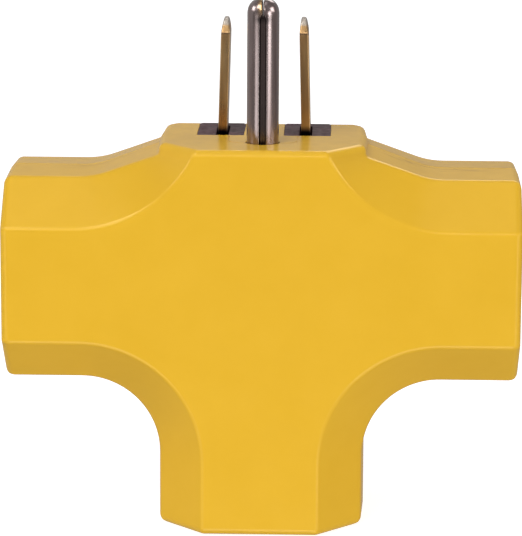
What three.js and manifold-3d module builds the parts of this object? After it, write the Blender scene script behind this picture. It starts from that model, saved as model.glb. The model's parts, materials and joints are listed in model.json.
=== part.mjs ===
// A T-shaped adapter: a grounding plug on its hub and a grounding outlet at the end of each of three arms.
// Millimetres. X runs along the two side arms, Y from front to back, Z along the blades.
// Z = 0 is the plug face, Y = 0 is the parting plane of the covers and X = 0 passes through the ground pin.
import * as THREE from "three";
import { mergeVertices } from "three/addons/utils/BufferGeometryUtils.js";
import Module from "manifold-3d";

// Body outline, seen from the front
const ARM_REACH = 38.8;
const STEM_END = -59;
const ARM_TOP = -5.3;
const CROTCH_X = 27.2;
const CROTCH_Z = -47.9;
const CROTCH_RADIUS = 11.8;
const HUB_HALF_WIDTH = 15.5;
const HUB_SIDE_END = -1.8;
const RAMP_FOOT_X = 25.4;
const SHOULDER_X = 28;
const SHOULDER_RADIUS = 20;

// Body section: an octagon, widest at the parting plane
const HALF_DEPTH = 15.7;
const CHAMFER_DEPTH = 7;
const CHAMFER_WIDTH = 6.7;
const DRAFT = 0.35;
const BACK_BEVEL_START = 10;

// Walls and the hollow behind them
const WALL = 2.4;
const END_WALL = 2.5;
const PLUG_WALL = 3.2;
const CAVITY_CHAMFER = 5.4;

// Plug blades and ground pin, to the standard 15 A grounding pattern
const BLADE_X = 6.35;
const BLADE_Y = 4.48;
const BLADE_WIDTH = 6.35;
const BLADE_THICKNESS = 1.52;
const BLADE_LENGTH = 17.2;
const BLADE_LEAN = 0.45;
const BLADE_TIP = { taper: 1.5, corner: 2, narrowing: 1.2 };
const PIN_Y = BLADE_Y - 11.89;
const PIN_RADIUS = 2.39;
const PIN_LENGTH = 21.65;
const PIN_SEAM = { halfWidth: 0.25, depth: 1, start: 0.5 };

// Windows round the blades, and the dark insert seen in them
const WINDOW_X = [3.05, 10.15];
const WINDOW_Y = [-1.3, 10.3];
const WINDOW_GAP = 0.1;
const PIN_HOLE_GAP = 0.25;
const BLADE_HOLE_GAP = 0.2;
const INSERT_RECESS = 0.4;
const INSERT_BASE = { x: 10.6, y: [-3, 9.5], z: [-6.4, -PLUG_WALL] };

// Outlet openings
const LINE_SLOT = { width: 2, height: 7.2 };
const NEUTRAL_SLOT = { width: 2, height: 8.6 };
const GROUND_HOLE_RADIUS = 2.7;
const GROUND_HOLE_FLAT = 2.5;

// Contacts, bus bars and rivets
const SHEET = 0.8;
const STRAP_HALF = 2.4;
const FOOT_HALF = 2.2;
const CLIP_BACK = 24;
const CLIP_MOUTH = 35.2;
const CLIP_FLARE = 1.7;
const FOOT_LENGTH = 7;
const STRAP_END = 25;
const COLUMN_TOP = -8;
const TAIL_END = -15;
const TAIL_FOOT_TOP = -7.5;
const TAIL_RIVET_Z = -12.5;
const BLADE_SHANK_END = -9;
const BLADE_WEB_TOP = -7;
const PIN_SHANK_END = -6;
const PIN_WEB_TOP = -5.5;
const RIVET = { shank: 1, head: 1.7, crown: 1.2, headHeight: 0.7, rimHeight: 0.35, hole: 1.3 };
const CARRIER = { x: [26.5, 36], gap: 0.2 };

// Segments of round shapes
const ARC_STEPS = 12;
const ROUND_STEPS = 24;
const SMALL_ROUND_STEPS = 12;
const DOME_STEPS = 6;

// How far a cutting tool runs past the face that it cuts, and how far joined solids sink into each other
const PAST = 1;
const SUNK = 0.3;

const ARM_BOTTOM = CROTCH_Z + CROTCH_RADIUS;
const ARM_Z = (ARM_TOP + ARM_BOTTOM) / 2;
const ARM_HALF_HEIGHT = (ARM_TOP - ARM_BOTTOM) / 2;
const SHOULDER_Y = HALF_DEPTH - CHAMFER_DEPTH;

// One circuit each: where its contacts lie across the outlet and in depth, and where its bus bar runs.
const CIRCUITS = {
  line: { across: -BLADE_X, y: [1.3, 7.7], gap: 0.95, flare: 0.7, bus: [10, 10.8] },
  neutral: { across: BLADE_X, y: [1.3, 7.7], gap: 0.95, flare: 0.7, bus: [-2.2, -1.4] },
  ground: { across: 0, y: [-9.9, -5], gap: 2.45, flare: 0.4, bus: [-12, -11.2] },
};

// Each outlet is built facing +X and then turned about Y to its arm.
const OUTLETS = {
  left: new THREE.Matrix4().makeRotationY(Math.PI).setPosition(0, 0, ARM_Z),
  right: new THREE.Matrix4().setPosition(0, 0, ARM_Z),
  bottom: new THREE.Matrix4().makeRotationY(Math.PI / 2).setPosition(0, 0, STEM_END + ARM_REACH),
};

const yellow = new THREE.MeshStandardMaterial({ color: 0xe6b732, roughness: 0.35 });
const dark = new THREE.MeshStandardMaterial({ color: 0x4a3f49, roughness: 0.55 });
const black = new THREE.MeshStandardMaterial({ color: 0x2a2829, roughness: 0.6 });
const brass = new THREE.MeshStandardMaterial({ color: 0x9c7540, roughness: 0.35, metalness: 1 });
const nickel = new THREE.MeshStandardMaterial({ color: 0xa9a2a4, roughness: 0.25, metalness: 1 });

const wasm = await Module();
wasm.setup();

// --- Solids ---------------------------------------------------------------------------------------

function solid(geometry) {
  const bare = geometry.clone();
  bare.deleteAttribute("normal");
  bare.deleteAttribute("uv");
  const merged = mergeVertices(bare, 1e-5);
  return new wasm.Manifold(
    new wasm.Mesh({
      numProp: 3,
      vertProperties: new Float32Array(merged.getAttribute("position").array),
      triVerts: new Uint32Array(merged.getIndex().array),
    })
  );
}

function union(solids) {
  return solids.reduce((whole, piece) => whole.add(piece));
}

function cut(whole, tools) {
  return tools.reduce((left, tool) => left.subtract(tool), whole);
}

function named(name, shape, material) {
  const { vertProperties, triVerts } = shape.getMesh();
  const geometry = new THREE.BufferGeometry();
  geometry.setAttribute("position", new THREE.BufferAttribute(new Float32Array(vertProperties), 3));
  geometry.setIndex(new THREE.BufferAttribute(new Uint32Array(triVerts), 1));
  const mesh = new THREE.Mesh(geometry, material);
  mesh.name = name;
  return mesh;
}

function boxGeometry([x0, x1], [y0, y1], [z0, z1]) {
  const geometry = new THREE.BoxGeometry(x1 - x0, y1 - y0, z1 - z0);
  return geometry.translate((x0 + x1) / 2, (y0 + y1) / 2, (z0 + z1) / 2);
}

function box(x, y, z) {
  return solid(boxGeometry(x, y, z));
}

function span(centre, half) {
  return [centre - half, centre + half];
}

function ascending(ends) {
  return ends.sort((a, b) => a - b);
}

function extruded(shape, [from, to]) {
  const options = { depth: to - from, bevelEnabled: false, curveSegments: ARC_STEPS };
  return new THREE.ExtrudeGeometry(shape, options).translate(0, 0, from);
}

function polygon(points) {
  return new THREE.Shape(points.map(([a, b]) => new THREE.Vector2(a, b)));
}

// Turns an extrusion along Z into one along X, its outline's axes then being Y and Z.
function alongX(geometry) {
  const basis = new THREE.Matrix4().makeBasis(
    new THREE.Vector3(0, 1, 0),
    new THREE.Vector3(0, 0, 1),
    new THREE.Vector3(1, 0, 0)
  );
  return geometry.applyMatrix4(basis);
}

// Turns an extrusion along Z into one along Y, its outline's axes then being Z and X.
function alongY(geometry) {
  const basis = new THREE.Matrix4().makeBasis(
    new THREE.Vector3(0, 0, 1),
    new THREE.Vector3(1, 0, 0),
    new THREE.Vector3(0, 1, 0)
  );
  return geometry.applyMatrix4(basis);
}

function octagon(halfWidth, halfDepth, chamferWidth, chamferDepth) {
  const w = halfWidth;
  const d = halfDepth;
  const corners = [
    [w, d - chamferDepth],
    [w - chamferWidth, d],
    [chamferWidth - w, d],
    [-w, d - chamferDepth],
  ];
  return [...corners, ...corners.map(([a, b]) => [-a, -b])];
}

// --- Body shape -----------------------------------------------------------------------------------

// The arm's upper edge on the chamfered front or back flat: one sweep from the plug face to the arm.
function flatShoulder(steps) {
  const top = ARM_TOP - CHAMFER_WIDTH + SHOULDER_RADIUS;
  const start = Math.PI + Math.asin(top / SHOULDER_RADIUS);
  return Array.from({ length: steps + 1 }, (_, i) => {
    const angle = start + ((1.5 * Math.PI - start) * i) / steps;
    return [SHOULDER_X + SHOULDER_RADIUS * Math.cos(angle), top + SHOULDER_RADIUS * Math.sin(angle)];
  });
}

// The same edge further out: down the hub's side, along the ramp and on to the arm.
function outerShoulder(steps, draft) {
  const path = [
    [HUB_HALF_WIDTH + draft, 0],
    [HUB_HALF_WIDTH + draft, HUB_SIDE_END + draft],
    [RAMP_FOOT_X, ARM_TOP + draft],
    [SHOULDER_X, ARM_TOP + draft],
  ];
  const sideSteps = 2;
  const endSteps = 1;
  const counts = [sideSteps, steps - sideSteps - endSteps, endSteps];
  const points = counts.flatMap((count, leg) =>
    Array.from({ length: count }, (_, i) => [
      THREE.MathUtils.lerp(path[leg][0], path[leg + 1][0], i / count),
      THREE.MathUtils.lerp(path[leg][1], path[leg + 1][1], i / count),
    ])
  );
  return [...points, path[3]];
}

// The body's whole outline at one depth: inset 0 at the sides, or CHAMFER_WIDTH on the flats.
function outline(inset, draft) {
  const shoulder = inset > 0 ? flatShoulder(ARC_STEPS) : outerShoulder(ARC_STEPS, draft);
  const radius = CROTCH_RADIUS + inset - draft;
  const crotch = Array.from({ length: ARC_STEPS + 1 }, (_, i) => {
    const angle = Math.PI / 2 + (Math.PI / 2) * (i / ARC_STEPS);
    return [CROTCH_X + radius * Math.cos(angle), CROTCH_Z + radius * Math.sin(angle)];
  });
  const half = [
    ...shoulder,
    [ARM_REACH, shoulder[ARC_STEPS][1]],
    [ARM_REACH, CROTCH_Z + radius],
    ...crotch,
    [CROTCH_X - radius, STEM_END],
  ];
  return [...half, ...half.map(([x, z]) => [-x, z]).reverse()];
}

// The triangles of a flat end, as rungs between the outline's right half and its mirrored left half.
function cap(count, first, facesBack) {
  const rungs = Array.from({ length: count / 2 - 1 }, (_, i) => {
    const [right, rightNext, left, leftNext] = [i, i + 1, count - 1 - i, count - 2 - i];
    return [right, left, rightNext, left, leftNext, rightNext];
  }).flat();
  const ordered = facesBack ? rungs.reverse() : rungs;
  return ordered.map((i) => first + i);
}

// Joins the outlines at successive depths into one closed body.
function lofted(rings) {
  const count = rings[0].points.length;
  const positions = rings.flatMap(({ y, points }) => points.flatMap(([x, z]) => [x, y, z]));
  const index = [];
  for (let ring = 0; ring < rings.length - 1; ring += 1) {
    for (let i = 0; i < count; i += 1) {
      const a = ring * count + i;
      const b = ring * count + ((i + 1) % count);
      index.push(a, b, a + count, b, b + count, a + count);
    }
  }
  index.push(...cap(count, 0, false));
  index.push(...cap(count, (rings.length - 1) * count, true));
  const geometry = new THREE.BufferGeometry();
  geometry.setAttribute("position", new THREE.Float32BufferAttribute(positions, 3));
  geometry.setIndex(index);
  return geometry;
}

// Half of the solid body: side 1 is behind the parting plane, side -1 in front of it.
function halfBody(side) {
  const rings = [
    { y: 0, points: outline(0, DRAFT) },
    { y: side * SHOULDER_Y, points: outline(0, 0) },
    { y: side * HALF_DEPTH, points: outline(CHAMFER_WIDTH, 0) },
  ];
  const geometry = lofted(side > 0 ? rings : rings.reverse());
  return solid(geometry);
}

// A wedge that takes off everything above the plane y + z = reach.
function backWedge(reach) {
  const far = 2 * HALF_DEPTH;
  const wedge = polygon([
    [reach, 0],
    [far, reach - far],
    [far, far],
    [reach, far],
  ]);
  return solid(alongX(extruded(wedge, [-ARM_REACH, ARM_REACH])));
}

// The hollow for the contacts and bus bars, through the arms and from the hub down the stem.
function cavity() {
  const section = octagon(ARM_HALF_HEIGHT - WALL, HALF_DEPTH - WALL, CAVITY_CHAMFER, CAVITY_CHAMFER);
  const across = polygon(section.map(([w, d]) => [d, w + ARM_Z]));
  const arms = solid(alongX(extruded(across, span(0, ARM_REACH - END_WALL))));
  const stem = solid(extruded(polygon(section), [STEM_END + END_WALL, -PLUG_WALL]));
  return arms.add(stem.subtract(backWedge(BACK_BEVEL_START - WALL * Math.SQRT2)));
}

// --- Openings through the covers ------------------------------------------------------------------

function groundHoleShape(radius, flat) {
  const shape = new THREE.Shape();
  shape.moveTo(PIN_Y, radius);
  shape.absarc(PIN_Y, 0, radius, Math.PI / 2, 1.5 * Math.PI, false);
  shape.lineTo(PIN_Y + flat, -radius);
  shape.lineTo(PIN_Y + flat, radius);
  return shape;
}

function outletHoles() {
  const through = [ARM_REACH - END_WALL - PAST, ARM_REACH + PAST];
  const slot = ({ across }, { width, height }) =>
    boxGeometry(through, span(BLADE_Y, height / 2), span(across, width / 2));
  return [
    slot(CIRCUITS.line, LINE_SLOT),
    slot(CIRCUITS.neutral, NEUTRAL_SLOT),
    alongX(extruded(groundHoleShape(GROUND_HOLE_RADIUS, GROUND_HOLE_FLAT), through)),
  ];
}

function allOpenings() {
  const outletTools = Object.values(OUTLETS).flatMap((placing) =>
    outletHoles().map((geometry) => solid(geometry.applyMatrix4(placing)))
  );
  const depth = [-PLUG_WALL - SUNK, PAST];
  const [near, far] = WINDOW_X;
  const windows = [box([-far, -near], WINDOW_Y, depth), box([near, far], WINDOW_Y, depth)];
  return [...outletTools, ...windows, pinCylinder(PIN_RADIUS + PIN_HOLE_GAP, depth)];
}

function pinCylinder(radius, [from, to]) {
  const geometry = new THREE.CylinderGeometry(radius, radius, to - from, ROUND_STEPS);
  return solid(geometry.rotateX(Math.PI / 2).translate(0, PIN_Y, (from + to) / 2));
}

// --- Parts ----------------------------------------------------------------------------------------

function covers() {
  const hollow = cavity();
  const openings = allOpenings();
  const front = cut(halfBody(-1), [hollow, ...openings]);
  const back = cut(halfBody(1), [hollow, backWedge(BACK_BEVEL_START), ...openings]);
  return [named("front_cover", front, yellow), named("back_cover", back, yellow)];
}

function plugInsert() {
  const { x, y, z } = INSERT_BASE;
  const pad = (side) => {
    const reach = WINDOW_X.map((edge, i) => side * (edge + (i ? -WINDOW_GAP : WINDOW_GAP)));
    const depth = [WINDOW_Y[0] + WINDOW_GAP, WINDOW_Y[1] - WINDOW_GAP];
    return box(ascending(reach), depth, [z[1] - SUNK, -INSERT_RECESS]);
  };
  const slot = (side) => {
    const across = span(side * BLADE_X, BLADE_THICKNESS / 2 + BLADE_HOLE_GAP);
    return box(across, span(BLADE_Y, BLADE_WIDTH / 2 + BLADE_HOLE_GAP), [z[0] - PAST, PAST]);
  };
  const whole = union([box(span(0, x), y, z), pad(-1), pad(1)]);
  return named("plug_insert", cut(whole, [slot(-1), slot(1)]), dark);
}

// The foot that joins a blade or the pin to its bus bar, below the plug face.
function tailFoot(x, face, inward) {
  const foot = box(span(x, FOOT_HALF), ascending([face, face + inward * SHEET]), [TAIL_END, TAIL_FOOT_TOP]);
  return foot.subtract(rivetHole(x, TAIL_RIVET_Z));
}

function rivetHole(x, z) {
  const geometry = new THREE.CylinderGeometry(RIVET.hole, RIVET.hole, 4 * HALF_DEPTH, SMALL_ROUND_STEPS);
  return solid(geometry.translate(x, 0, z));
}

// side -1 is the line blade, side 1 the neutral one. Both lean towards each other at the tip.
function blade(name, side, circuit) {
  const x = side * BLADE_X;
  const half = BLADE_THICKNESS / 2;
  const tipX = x - side * BLADE_LEAN;
  const taperZ = BLADE_LENGTH - BLADE_TIP.taper;
  const edge = polygon([
    [BLADE_SHANK_END, x - half],
    [0, x - half],
    [taperZ, tipX - half],
    [BLADE_LENGTH, tipX - half / 2],
    [BLADE_LENGTH, tipX + half / 2],
    [taperZ, tipX + half],
    [0, x + half],
    [BLADE_SHANK_END, x + half],
  ]);
  const [y0, y1] = span(BLADE_Y, BLADE_WIDTH / 2);
  const cornerZ = BLADE_LENGTH - BLADE_TIP.corner;
  const face = polygon([
    [y0, BLADE_SHANK_END],
    [y1, BLADE_SHANK_END],
    [y1, cornerZ],
    [y1 - BLADE_TIP.narrowing, BLADE_LENGTH],
    [y0 + BLADE_TIP.narrowing, BLADE_LENGTH],
    [y0, cornerZ],
  ]);
  const thick = solid(alongY(extruded(edge, [y0, y1])));
  const wide = solid(alongX(extruded(face, span(x, BLADE_THICKNESS))));
  const footFace = side < 0 ? circuit.bus[0] : circuit.bus[1];
  const webY = ascending([BLADE_Y, footFace + (side * SHEET) / 2]);
  const web = box(span(x, half), webY, [BLADE_SHANK_END, BLADE_WEB_TOP]);
  return named(name, union([thick.intersect(wide), web, tailFoot(x, footFace, side)]), brass);
}

function groundPin() {
  const domeStart = PIN_LENGTH - PIN_RADIUS;
  const dome = Array.from({ length: DOME_STEPS }, (_, i) => {
    const angle = (Math.PI / 2) * (i / DOME_STEPS);
    return [PIN_RADIUS * Math.cos(angle), domeStart + PIN_RADIUS * Math.sin(angle)];
  });
  const profile = [[0, PIN_SHANK_END], [PIN_RADIUS, PIN_SHANK_END], ...dome, [0, PIN_LENGTH]];
  const points = profile.map(([r, z]) => new THREE.Vector2(r, z));
  const turned = new THREE.LatheGeometry(points, ROUND_STEPS).rotateX(Math.PI / 2);
  const round = solid(turned.translate(0, PIN_Y, 0));
  const seamY = span(PIN_Y - PIN_RADIUS, PIN_SEAM.depth);
  const seam = box(span(0, PIN_SEAM.halfWidth), seamY, [PIN_SEAM.start, PIN_LENGTH + PAST]);
  const footFace = CIRCUITS.ground.bus[1];
  const webY = [footFace + SHEET / 2, PIN_Y];
  const web = box(span(0, BLADE_THICKNESS / 2), webY, [BLADE_SHANK_END, PIN_WEB_TOP]);
  return named("ground_pin", union([round.subtract(seam), web, tailFoot(0, footFace, 1)]), nickel);
}

// A folded clip: two leaves joined at the back by a bridge, whose strap ends in a riveted foot.
function contactClip(circuit) {
  const { across, y, gap, flare, bus } = circuit;
  const outer = gap + SHEET;
  const bend = CLIP_MOUTH - CLIP_FLARE;
  const halfLeaf = [
    [gap, CLIP_BACK + SHEET],
    [gap, bend],
    [gap + flare, CLIP_MOUTH],
    [outer + flare, CLIP_MOUTH],
    [outer, bend],
    [outer, CLIP_BACK],
  ];
  const mirrored = halfLeaf.map(([a, b]) => [-a, b]).reverse();
  const profile = polygon([...halfLeaf, ...mirrored].map(([a, b]) => [a + across, b]));
  const leaves = solid(alongY(extruded(profile, y)));
  const behind = bus[0] > y[1];
  const face = behind ? bus[0] : bus[1];
  const footY = behind ? [face - SHEET, face] : [face, face + SHEET];
  const strapY = behind ? [y[0], face] : [face, y[1]];
  const width = span(across, FOOT_HALF);
  const strap = box([CLIP_BACK, CLIP_BACK + SHEET], strapY, width);
  const foot = box([CLIP_BACK + SHEET - FOOT_LENGTH, CLIP_BACK + SHEET], footY, width);
  const whole = union([leaves, strap, foot]);
  return whole.subtract(rivetHole(clipRivetX(), across));
}

function clipRivetX() {
  return CLIP_BACK + SHEET - FOOT_LENGTH + STRAP_HALF;
}

function carrier() {
  const { x, gap } = CARRIER;
  const halfWidth = ARM_HALF_HEIGHT - WALL - gap;
  const halfDepth = HALF_DEPTH - WALL - gap;
  const section = octagon(halfWidth, halfDepth, CAVITY_CHAMFER, CAVITY_CHAMFER);
  const block = solid(alongX(extruded(polygon(section.map(([w, d]) => [d, w])), x)));
  const pockets = Object.values(CIRCUITS).map((circuit) => {
    const half = circuit.gap + SHEET + circuit.flare + gap;
    const depth = [circuit.y[0] - gap, circuit.y[1] + gap];
    return box([x[0] - PAST, x[1] + PAST], depth, span(circuit.across, half));
  });
  return cut(block, pockets);
}

function rivet(circuit) {
  const behind = circuit.bus[0] > circuit.y[1];
  const [y0, y1] = behind
    ? [circuit.bus[0] - SHEET, circuit.bus[1]]
    : [circuit.bus[0], circuit.bus[1] + SHEET];
  const { shank, head, crown, headHeight, rimHeight } = RIVET;
  const profile = [
    [0, y0 - headHeight],
    [crown, y0 - headHeight],
    [head, y0 - rimHeight],
    [head, y0],
    [shank, y0],
    [shank, y1],
    [head, y1],
    [head, y1 + rimHeight],
    [crown, y1 + headHeight],
    [0, y1 + headHeight],
  ];
  const points = profile.map(([r, y]) => new THREE.Vector2(r, y));
  return solid(new THREE.LatheGeometry(points, SMALL_ROUND_STEPS));
}

// A bus bar is a flat strap down the stem with a branch to each side arm.
function busBar(name, circuit) {
  const { across, bus } = circuit;
  const rightZ = ARM_Z + across;
  const leftZ = ARM_Z - across;
  const column = box(span(across, STRAP_HALF), bus, [STEM_END + ARM_REACH - STRAP_END, COLUMN_TOP]);
  const right = box([across - STRAP_HALF, STRAP_END], bus, span(rightZ, STRAP_HALF));
  const left = box([-STRAP_END, across + STRAP_HALF], bus, span(leftZ, STRAP_HALF));
  const x = clipRivetX();
  const holes = [
    rivetHole(x, rightZ),
    rivetHole(-x, leftZ),
    rivetHole(across, STEM_END + ARM_REACH - x),
    rivetHole(across, TAIL_RIVET_Z),
  ];
  return named(name, cut(union([column, right, left]), holes), brass);
}

const adapter = new THREE.Group();
adapter.add(...covers(), plugInsert());
adapter.add(blade("line_blade", -1, CIRCUITS.line));
adapter.add(blade("neutral_blade", 1, CIRCUITS.neutral));
adapter.add(groundPin());

for (const [circuitName, circuit] of Object.entries(CIRCUITS)) {
  adapter.add(busBar(`${circuitName}_bus_bar`, circuit));
  const tailRivet = named(`plug_${circuitName}_rivet`, rivet(circuit), brass);
  tailRivet.position.set(circuit.across, 0, TAIL_RIVET_Z);
  adapter.add(tailRivet);
}

for (const [outletName, placing] of Object.entries(OUTLETS)) {
  const outlet = new THREE.Group();
  outlet.applyMatrix4(placing);
  outlet.add(named(`${outletName}_contact_carrier`, carrier(), black));
  for (const [circuitName, circuit] of Object.entries(CIRCUITS)) {
    outlet.add(named(`${outletName}_${circuitName}_contact`, contactClip(circuit), brass));
    const clipRivet = named(`${outletName}_${circuitName}_rivet`, rivet(circuit), brass);
    clipRivet.position.set(clipRivetX(), 0, circuit.across);
    outlet.add(clipRivet);
  }
  adapter.add(outlet);
}

export default adapter;
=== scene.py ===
import json
import math

import bmesh
import bpy
from mathutils import Matrix, Vector


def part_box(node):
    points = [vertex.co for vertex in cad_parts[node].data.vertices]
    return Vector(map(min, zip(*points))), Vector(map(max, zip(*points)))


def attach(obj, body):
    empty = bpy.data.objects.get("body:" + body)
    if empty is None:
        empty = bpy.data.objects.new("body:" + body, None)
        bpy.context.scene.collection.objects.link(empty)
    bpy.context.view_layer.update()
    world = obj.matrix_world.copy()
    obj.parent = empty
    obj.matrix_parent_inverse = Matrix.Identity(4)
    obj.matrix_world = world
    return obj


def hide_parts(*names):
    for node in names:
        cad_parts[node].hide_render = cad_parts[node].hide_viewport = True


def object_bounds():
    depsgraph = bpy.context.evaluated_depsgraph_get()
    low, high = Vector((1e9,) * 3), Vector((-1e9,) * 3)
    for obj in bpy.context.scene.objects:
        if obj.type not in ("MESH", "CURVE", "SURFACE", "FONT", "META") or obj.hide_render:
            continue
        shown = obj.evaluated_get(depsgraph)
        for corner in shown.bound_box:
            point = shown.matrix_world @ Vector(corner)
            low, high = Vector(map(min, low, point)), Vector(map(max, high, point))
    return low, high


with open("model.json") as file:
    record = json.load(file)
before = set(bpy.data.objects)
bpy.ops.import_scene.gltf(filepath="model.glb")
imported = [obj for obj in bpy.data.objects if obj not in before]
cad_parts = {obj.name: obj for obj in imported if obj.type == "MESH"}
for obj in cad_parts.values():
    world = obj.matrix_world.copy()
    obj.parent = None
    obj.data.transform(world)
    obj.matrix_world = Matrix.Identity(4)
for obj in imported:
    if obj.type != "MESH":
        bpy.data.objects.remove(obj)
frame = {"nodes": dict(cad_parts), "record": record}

CAD_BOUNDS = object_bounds()

# Lengths are in millimetres, in the frame's axes. Meshes are scaled to metres as they are made.
MM = 0.001


def in_mm(corner):
    return [value / MM for value in corner]


COVER_LOW, _ = [in_mm(corner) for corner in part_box("front_cover")]
_, COVER_HIGH = [in_mm(corner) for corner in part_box("back_cover")]
REACH = COVER_HIGH[0]
STEM_END = COVER_LOW[2]
HALF_DEPTH = COVER_HIGH[1]

# Body outline, as in the CAD model
ARM_TOP = -5.3
CROTCH_X = 27.2
CROTCH_Z = -47.9
CROTCH_RADIUS = 11.8
ARM_BOTTOM = CROTCH_Z + CROTCH_RADIUS
ARM_Z = (ARM_TOP + ARM_BOTTOM) / 2
ARM_HALF_HEIGHT = (ARM_TOP - ARM_BOTTOM) / 2
HUB_HALF_WIDTH = 15.5
HUB_SIDE_END = -1.8
RAMP_FOOT_X = 25.4
SHOULDER_X = 28
SHOULDER_RADIUS = 20
CHAMFER_DEPTH = 7
CHAMFER_WIDTH = 6.7
SHOULDER_Y = HALF_DEPTH - CHAMFER_DEPTH
DRAFT = 0.35
BACK_BEVEL_START = 10

# Walls and hollow, as in the CAD model
WALL = 2.4
END_WALL = 2.5
PLUG_WALL = 3.2
CAVITY_CHAMFER = 5.4

# Small gaps that keep the faces of two meshes from lying in one plane
HAIR = 0.005
HOLLOW_STEP = 0.03

# How far a cutter stands out of the face that it cuts, and goes on beyond the wall
CUTTER_RISE = 1
CUTTER_OVERRUN = 1

# Plug and outlet pattern
BLADE_X = 6.35
BLADE_Y = 4.48
BLADE_WIDTH = 6.35
BLADE_THICKNESS = 1.52
PIN_Y = BLADE_Y - 11.89
PIN_RADIUS = 2.39
PIN_HOLE_CLEARANCE = 0.12
WINDOW_X = (3.05, 10.15)
WINDOW_Y = (-1.3, 10.3)
SLOT_HALF_HEIGHT = 1.0
LINE_SLOT_HALF_WIDTH = 3.6
NEUTRAL_SLOT_HALF_WIDTH = 4.3

# Edge rounding of the moulded body
ROUND_MAX = 1.5
ROUND_CHAMFER = 0.45
ROUND_END = 1.2
ROUND_PLUG = 1.1
ROUND_SEGMENTS = 5
SEAM_DEPTH = 0.1
SEAM_HALF = 0.16
# How near the back face an edge counts as lying in it
FACE_TOLERANCE = 0.01


# --- Mesh helpers ---------------------------------------------------------------------------------

def new_object(name, bm):
    bmesh.ops.recalc_face_normals(bm, faces=bm.faces)
    mesh = bpy.data.meshes.new(name)
    bm.to_mesh(mesh)
    bm.free()
    obj = bpy.data.objects.new(name, mesh)
    bpy.context.scene.collection.objects.link(obj)
    return obj


def apply_modifier(obj, modifier):
    with bpy.context.temp_override(object=obj, active_object=obj, selected_objects=[obj]):
        bpy.ops.object.modifier_apply(modifier=modifier.name)


# The weighted-normal modifier's weight, of 100
FLATNESS = 90


def smooth(obj, angle=32):
    """Smooth shading with hard edges above an angle, and normals that keep flat faces flat."""
    mesh = obj.data
    mesh.polygons.foreach_set("use_smooth", [True] * len(mesh.polygons))
    mesh.set_sharp_from_angle(angle=math.radians(angle))
    weighted = obj.modifiers.new("flat_faces", "WEIGHTED_NORMAL")
    weighted.keep_sharp = True
    weighted.weight = FLATNESS
    apply_modifier(obj, weighted)


def boolean(obj, tool, operation):
    modifier = obj.modifiers.new(operation.lower(), "BOOLEAN")
    modifier.operation = operation
    modifier.solver = "EXACT"
    modifier.object = tool
    apply_modifier(obj, modifier)


def join_rings(bm, rings):
    """Quads between successive rings of vertices, with the two end rings filled."""
    for ring, following in zip(rings, rings[1:]):
        count = len(ring)
        for i in range(count):
            j = (i + 1) % count
            bm.faces.new((ring[i], ring[j], following[j], following[i]))
    bm.faces.new(list(reversed(rings[0])))
    bm.faces.new(rings[-1])


def ring_of(bm, points):
    return [bm.verts.new(Vector(point) * MM) for point in points]


def lofted(name, outlines):
    """A closed mesh through successive closed outlines of points in millimetres."""
    bm = bmesh.new()
    join_rings(bm, [ring_of(bm, outline) for outline in outlines])
    return new_object(name, bm)


def joined(name, objects):
    bm = bmesh.new()
    for obj in objects:
        bm.from_mesh(obj.data)
        bpy.data.objects.remove(obj)
    return new_object(name, bm)


def arc(centre, radius, start, end, steps):
    angles = [start + (end - start) * i / steps for i in range(steps + 1)]
    return [(centre[0] + radius * math.cos(a), centre[1] + radius * math.sin(a)) for a in angles]


def rounded_rectangle(half_a, half_b, radius, steps=5):
    corners = [(1, 1, 0), (-1, 1, 90), (-1, -1, 180), (1, -1, 270)]
    points = []
    for sign_a, sign_b, start in corners:
        centre = (sign_a * (half_a - radius), sign_b * (half_b - radius))
        points += arc(centre, radius, math.radians(start), math.radians(start + 90), steps)
    return points


def resampled(path, count):
    """The same path as count + 1 points at equal steps along it."""
    lengths = [0]
    for a, b in zip(path, path[1:]):
        lengths.append(lengths[-1] + math.dist(a, b))
    points = []
    leg = 0
    for i in range(count + 1):
        target = lengths[-1] * i / count
        while leg < len(path) - 2 and lengths[leg + 1] < target:
            leg += 1
        share = (target - lengths[leg]) / (lengths[leg + 1] - lengths[leg])
        points.append(tuple(a + (b - a) * share for a, b in zip(path[leg], path[leg + 1])))
    return points


def softened(path, radii, steps=6):
    """A path with each inner corner turned into a curve that starts and ends radii[i] from it."""
    points = [path[0]]
    for before, corner, after, reach in zip(path, path[1:], path[2:], radii):
        enter = Vector(corner) + (Vector(before) - Vector(corner)).normalized() * reach
        leave = Vector(corner) + (Vector(after) - Vector(corner)).normalized() * reach
        for i in range(steps + 1):
            t = i / steps
            point = enter * (1 - t) ** 2 + Vector(corner) * 2 * t * (1 - t) + leave * t ** 2
            points.append(tuple(point))
    return points + [path[-1]]


# --- Body outline ---------------------------------------------------------------------------------

SHOULDER_STEPS = 40
CROTCH_STEPS = 28
# The shoulder's first leg is straight and longer than the rounding of the edge above it.
FIRST_LEG = 1.12
HUB_CORNER_SOFTNESS = 0.5
KNEE_SOFTNESS = 2.2
# The most of the hub's short straight side that its soft corner may take up.
LEG_SHARE = 0.9


def flat_shoulder():
    centre = (SHOULDER_X, ARM_TOP - CHAMFER_WIDTH + SHOULDER_RADIUS)
    start = math.pi + math.asin(centre[1] / SHOULDER_RADIUS)
    first = start + FIRST_LEG / SHOULDER_RADIUS
    rest = arc(centre, SHOULDER_RADIUS, first, 1.5 * math.pi, SHOULDER_STEPS - 1)
    return arc(centre, SHOULDER_RADIUS, start, first, 1)[:1] + rest


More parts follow.
